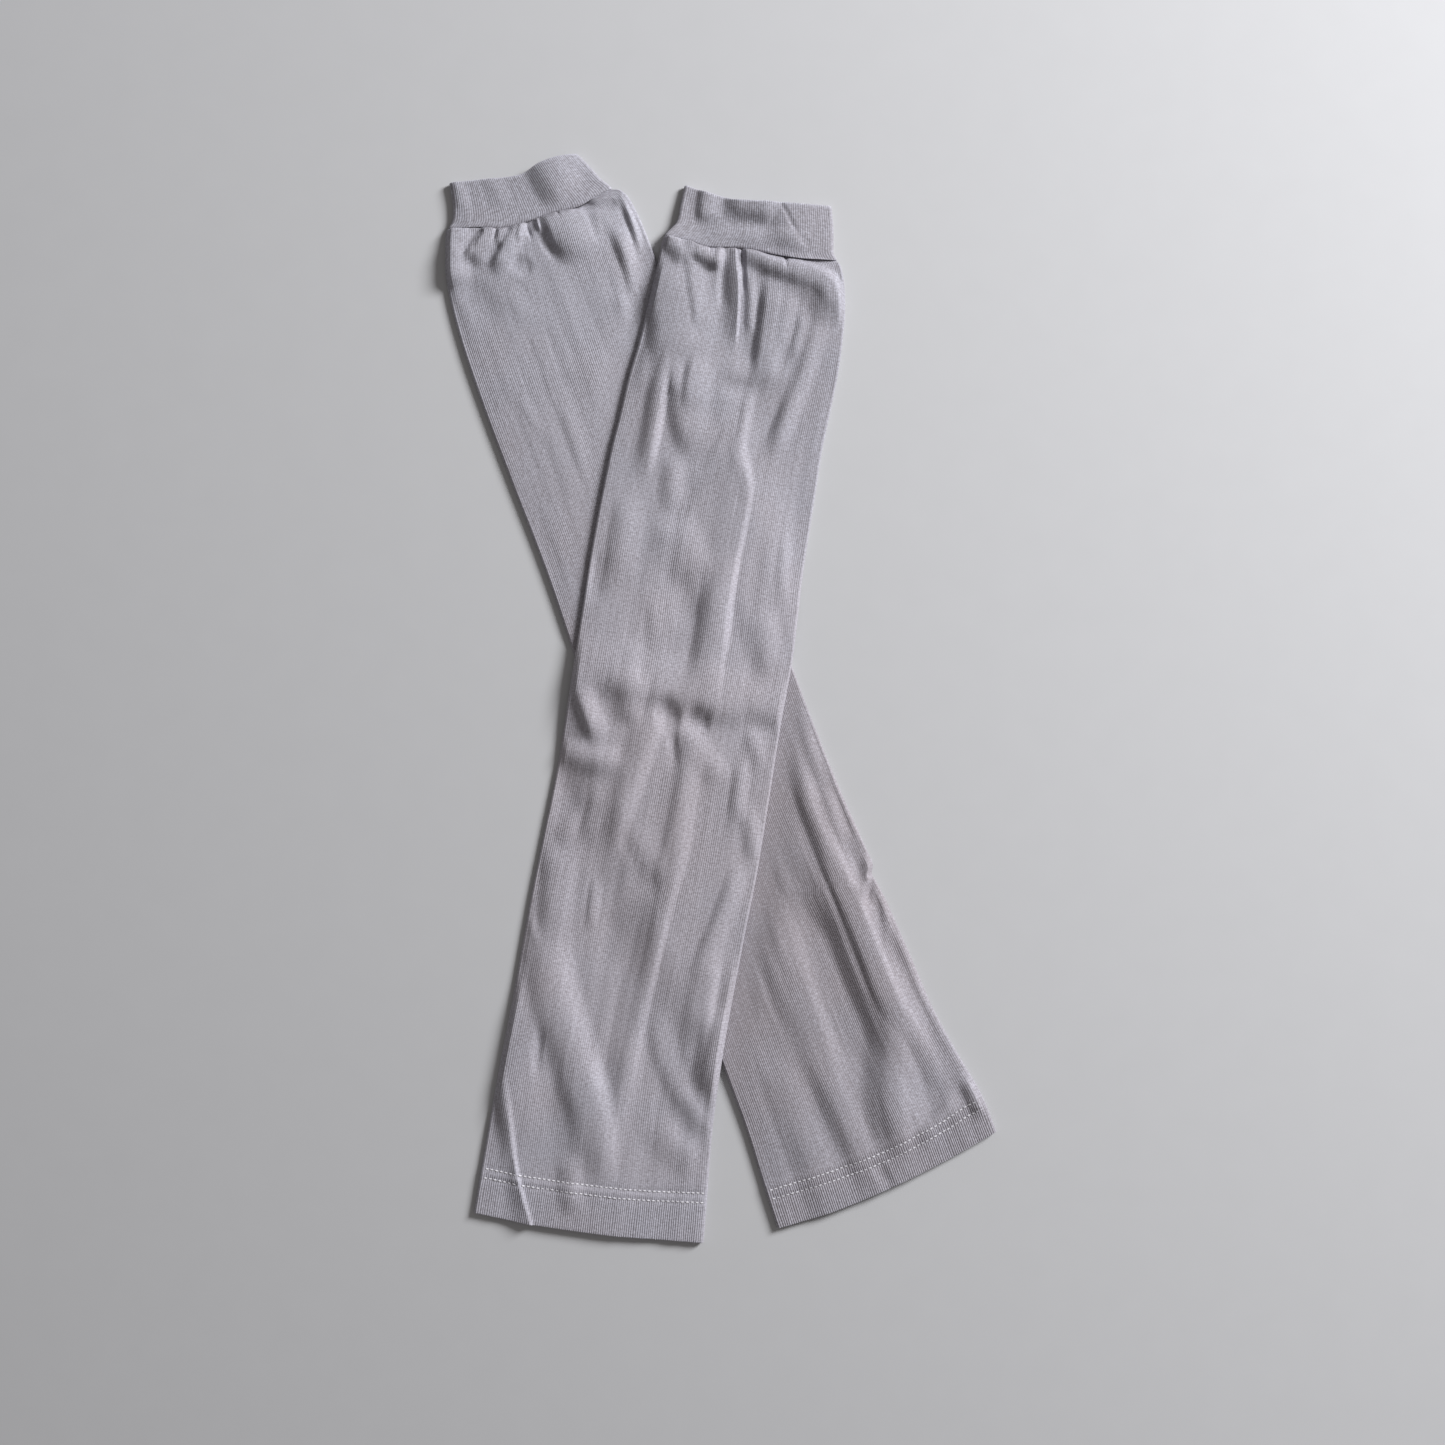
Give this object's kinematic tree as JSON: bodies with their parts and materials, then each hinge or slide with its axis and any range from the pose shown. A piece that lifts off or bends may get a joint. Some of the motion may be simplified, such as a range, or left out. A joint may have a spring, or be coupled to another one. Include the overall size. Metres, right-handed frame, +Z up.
{
  "type": "pair of arm sleeves",
  "caption": "Pair of fine-rib knit arm sleeves laid flat and crossed, each a long tapered tube gathered into a short doubled cuff, with a twin-stitched hem.",
  "frame": {"origin": "centre of the pair's bounding box, on the surface it lies on", "axes": "+Z up from the table, +Y along the pair towards the cuffs, +X across it to the right as seen from above with the cuffs at the top"},
  "size_m": [0.2642, 0.5218, 0.0085],
  "materials": {
    "body_rib": "fine 1x1 rib knit, matte with a faint smooth sheen, lilac grey",
    "cuff_rib": "firmer doubled rib knit, matte, lilac grey",
    "thread": "pale spun polyester sewing thread"
  },
  "bodies": {
    "root": {"under_sleeve_body": "body_rib", "under_sleeve_cuff": "cuff_rib", "over_sleeve_body": "body_rib", "over_sleeve_cuff": "cuff_rib"}
  },
  "joints": []
}
